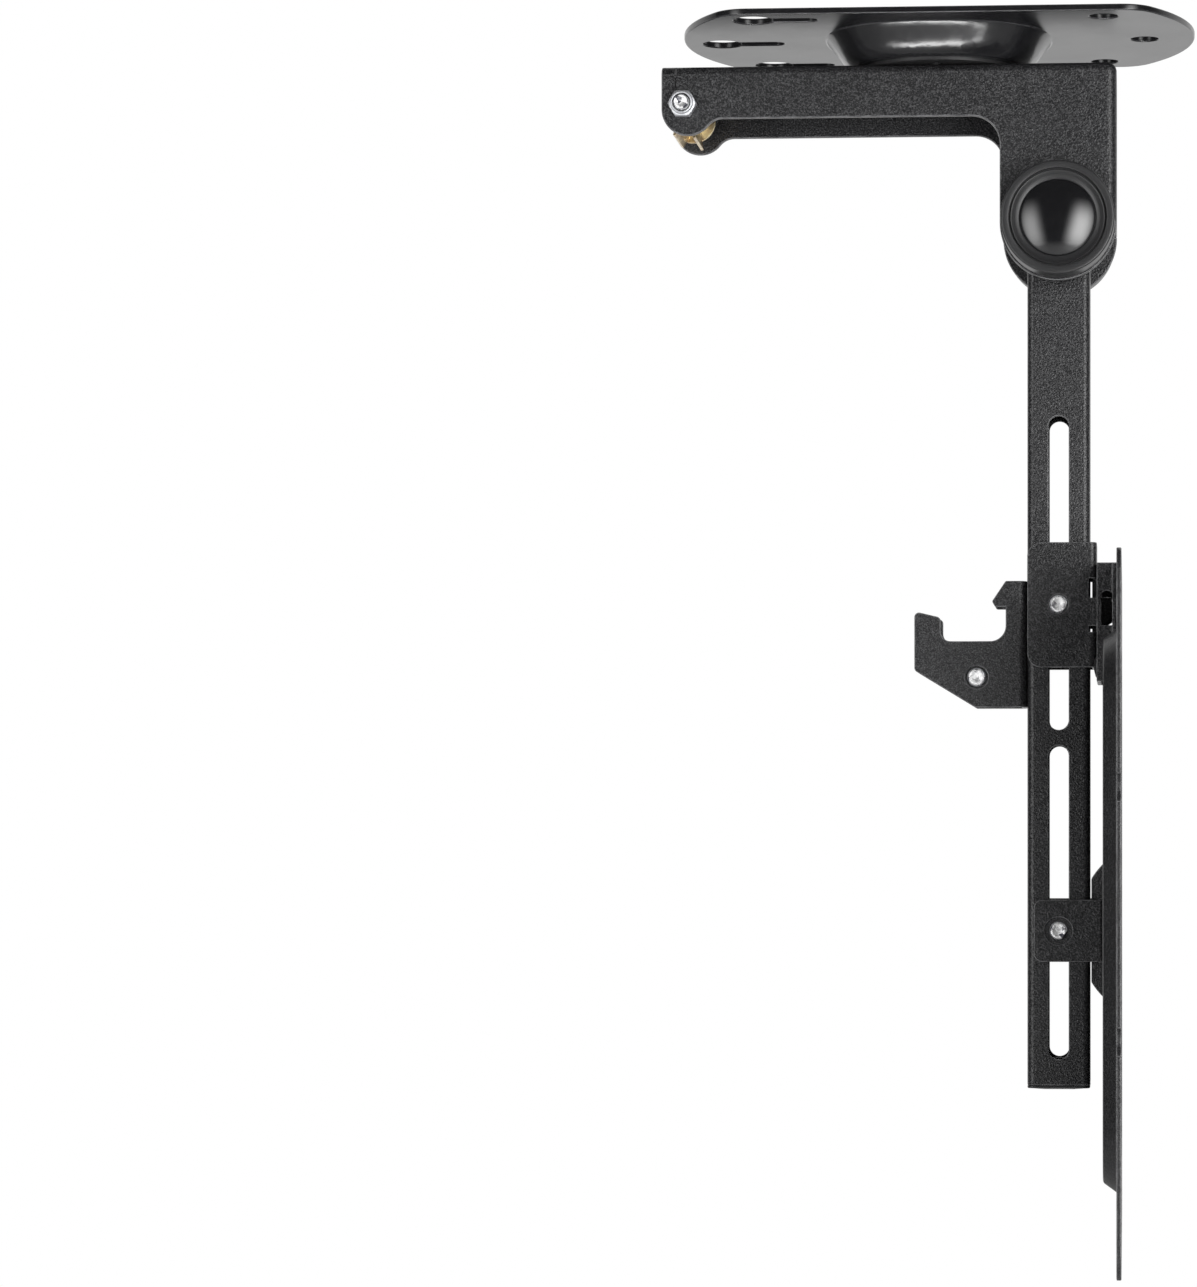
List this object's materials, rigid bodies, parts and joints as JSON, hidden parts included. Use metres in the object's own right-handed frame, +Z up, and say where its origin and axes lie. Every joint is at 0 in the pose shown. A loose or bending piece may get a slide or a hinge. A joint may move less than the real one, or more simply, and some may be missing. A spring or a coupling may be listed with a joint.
{
  "type": "tv ceiling mount",
  "caption": "Fold-down ceiling mount for a flat screen: pressed ceiling plate, swivelling yoke, hinged slotted arm with a hook and latch, and a height-adjustable display plate.",
  "frame": {"origin": "centre of the ceiling plate, at the ceiling", "axes": "+Z up to the ceiling, +X the way the display faces, Y along the fold axis"},
  "size_m": [0.1699, 0.217, 0.3886],
  "materials": {
    "powder": "fine-textured satin powder coat",
    "plate_powder": "satin powder coat",
    "plate_paint": "smooth semi-gloss paint",
    "dark_rivet": "semi-gloss black",
    "nylon": "matt",
    "cap_plastic": "satin moulded",
    "dome_plastic": "gloss moulded",
    "zinc": "bright zinc plate",
    "yellow_zinc": "yellow zinc plate"
  },
  "bodies": {
    "ceiling": {"ceiling_plate": "plate_paint", "friction_disc": "nylon", "disc_rivets": "dark_rivet", "swivel_bolt": "zinc", "swivel_nut": "zinc", "swivel_washer_upper": "zinc", "swivel_washer_lower": "zinc"},
    "yoke": {"yoke": "powder", "fold_bolt": "zinc", "fold_nut": "zinc", "fold_washer_near": "zinc", "fold_washer_far": "zinc", "fold_spacer_near": "nylon", "fold_spacer_far": "nylon", "cap_ring_near": "cap_plastic", "cap_ring_far": "cap_plastic", "cap_dome_near": "dome_plastic", "cap_dome_far": "dome_plastic", "latch_bolt": "zinc", "latch_nut": "zinc", "latch_sleeve_near": "zinc", "latch_sleeve_far": "zinc"},
    "catch": {"latch_catch": "yellow_zinc"},
    "arm": {"arm_tube": "powder", "arm_end_plug": "cap_plastic", "fold_bush": "nylon", "hook_bracket": "powder", "hook_rivets": "powder", "hook_bolt": "zinc", "hook_insert": "powder", "hook_sleeve": "zinc"},
    "carriage": {"upper_bracket": "powder", "upper_bolt": "zinc", "hanger": "powder", "hanger_rivets": "powder", "display_plate": "plate_powder", "lower_bracket": "powder", "lower_bolt": "zinc", "lower_insert": "powder"}
  },
  "joints": [
    {"name": "yoke_swivel", "type": "hinge", "parent": "ceiling", "child": "yoke", "pos_m": [0, 0, -0.0125], "axis": [0, 0, 1], "range_deg": [-90, 90]},
    {"name": "arm_fold", "type": "hinge", "parent": "yoke", "child": "arm", "pos_m": [0.0386, 0, -0.0632], "axis": [0, 1, 0], "range_deg": [0, 90]},
    {"name": "catch_turn", "type": "hinge", "parent": "yoke", "child": "catch", "pos_m": [-0.0807, 0, -0.0248], "axis": [0, 1, 0], "range_deg": [0, 50]},
    {"name": "height_slide", "type": "slide", "parent": "arm", "child": "carriage", "axis": [0, 0, 1], "range_m": [-0.036, 0.055]}
  ]
}
